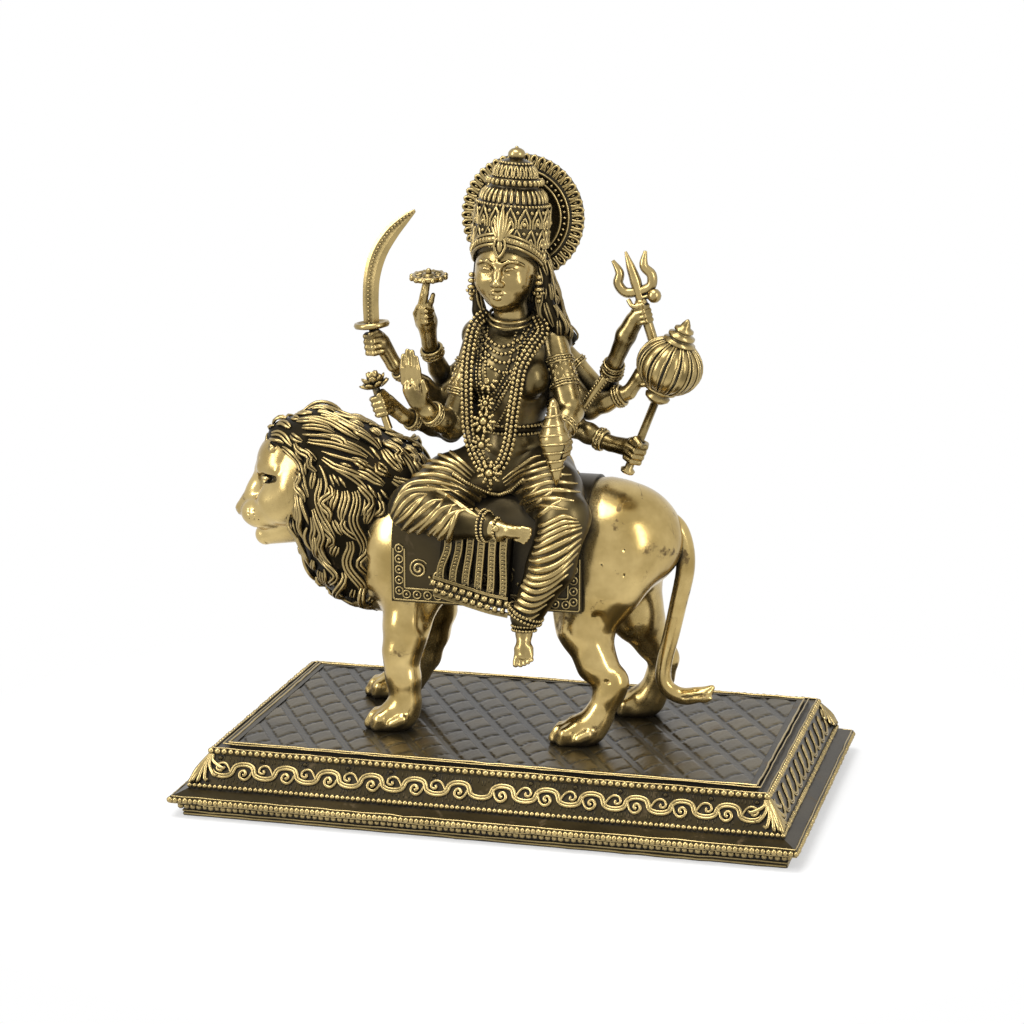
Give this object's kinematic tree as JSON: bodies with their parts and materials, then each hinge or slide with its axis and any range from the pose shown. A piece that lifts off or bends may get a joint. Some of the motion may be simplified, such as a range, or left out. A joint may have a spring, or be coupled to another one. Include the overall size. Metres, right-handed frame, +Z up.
{
  "type": "hindu deity statue",
  "caption": "Cast brass statue of a crowned, many-armed goddess riding side-saddle on a walking lion, on a stepped rectangular plinth.",
  "frame": {"origin": "centre of the plinth's underside", "axes": "+Z up, -Y the way the goddess faces, -X towards the lion's head, +X towards its tail"},
  "size_m": [0.177, 0.109, 0.1837],
  "materials": {
    "antique_brass": "antiqued, dark in the recesses",
    "polished_brass": "polished with stained hollows",
    "dark_brass": "dark patina with rubbed high spots",
    "steel": "plain"
  },
  "bodies": {
    "root": {"plinth": "dark_brass", "paw_screws": "steel", "paw_washers": "steel", "lion_body": "polished_brass", "lion_head": "antique_brass", "lion_tail": "polished_brass", "saddle_cloth": "dark_brass", "seat_stud": "steel", "seat_nut": "steel", "skirt": "antique_brass", "pleats": "antique_brass", "hanging_foot": "antique_brass", "folded_foot": "antique_brass", "anklets": "polished_brass", "torso": "antique_brass", "veil": "dark_brass", "head": "antique_brass", "crown": "polished_brass", "halo": "antique_brass", "halo_screw": "steel", "earrings": "polished_brass", "collar_necklace": "polished_brass", "long_garland": "polished_brass", "waist_belt": "polished_brass", "sword_arm": "antique_brass", "discus_arm": "antique_brass", "blessing_arm": "antique_brass", "lotus_arm": "antique_brass", "trident_arm": "antique_brass", "scarf_arm": "antique_brass", "mace_arm": "antique_brass", "conch_arm": "antique_brass", "wrist_bangles": "polished_brass", "armlets": "polished_brass", "sword": "polished_brass", "discus": "polished_brass", "lotus": "polished_brass", "trident": "polished_brass", "mace": "polished_brass", "conch": "polished_brass", "scarf_end": "polished_brass"}
  },
  "joints": []
}
